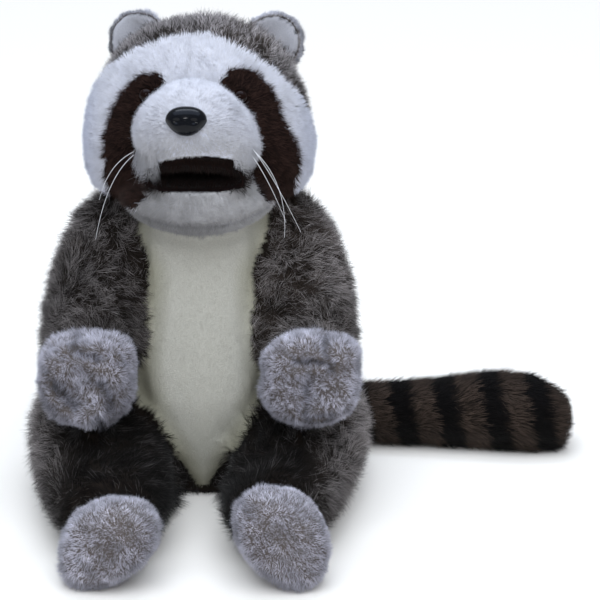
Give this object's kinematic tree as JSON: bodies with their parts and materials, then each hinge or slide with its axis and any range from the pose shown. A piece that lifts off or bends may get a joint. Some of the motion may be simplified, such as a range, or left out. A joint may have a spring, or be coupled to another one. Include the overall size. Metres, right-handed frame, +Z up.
{
  "type": "plush raccoon toy",
  "caption": "Stuffed soft-toy raccoon sitting on the floor with its face lifted, mouth open, forepaws held in front and ringed tail laid out to its left.",
  "frame": {"origin": "on the floor, at the middle of the flat seat under the trunk", "axes": "+Z up, the toy faces -Y, its own left hand and its tail are on +X"},
  "size_m": [0.3696, 0.2755, 0.3094],
  "materials": {
    "brown_grey_pile": "long frosted pile, dark brown at the roots and light at the tips",
    "white_pile": "short dense white pile with dark brown mask patches",
    "cream_velour": "very short cream plush",
    "pale_grey_pile": "short frosted grey pile",
    "dark_brown_pile": "short dark brown plush",
    "tail_pile": "short sleek pile with near-black and brown rings",
    "black_plastic": "gloss, moulded",
    "amber_plastic": "gloss, dark amber with a black pupil",
    "nylon_whisker": "clear nylon filament"
  },
  "bodies": {
    "root": {"trunk": "brown_grey_pile", "belly": "cream_velour", "head": "white_pile", "muzzle": "white_pile", "jaw": "white_pile", "mouth_lining": "dark_brown_pile", "nose": "black_plastic", "eye_left": "amber_plastic", "eye_right": "amber_plastic", "ear_left": "pale_grey_pile", "ear_right": "pale_grey_pile", "arm_left": "brown_grey_pile", "arm_right": "brown_grey_pile", "paw_left": "pale_grey_pile", "paw_right": "pale_grey_pile", "leg_left": "brown_grey_pile", "leg_right": "brown_grey_pile", "foot_left": "pale_grey_pile", "foot_right": "pale_grey_pile", "tail": "tail_pile"}
  },
  "joints": []
}
